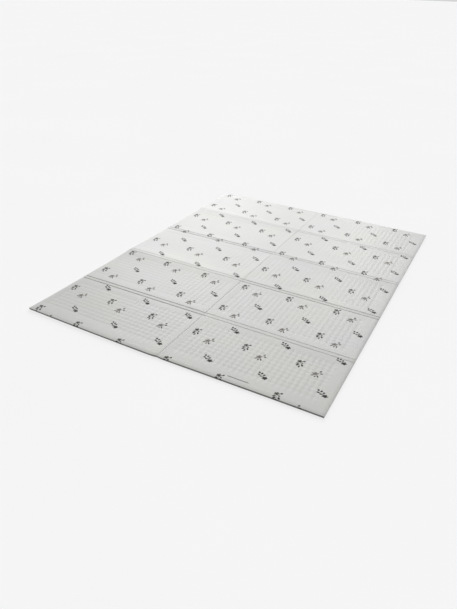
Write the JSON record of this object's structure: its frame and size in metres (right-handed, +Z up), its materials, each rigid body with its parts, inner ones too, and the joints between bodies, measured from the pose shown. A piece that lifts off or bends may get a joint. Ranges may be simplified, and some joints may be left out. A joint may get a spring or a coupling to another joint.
{
  "type": "foldable play mat",
  "caption": "Thin rectangular foam play mat lying open, with hinge grooves pressed between its panels and a small flower sprig print on its film.",
  "frame": {"origin": "on the floor, under the middle of the open mat", "axes": "+X across the columns of panels, +Y along the rows away from the near edge, +Z up out of the printed face"},
  "size_m": [1.5, 2.009, 0.015],
  "materials": {
    "film": "satin embossed film over foam"
  },
  "bodies": {
    "root": {"mat": "film"}
  },
  "joints": []
}
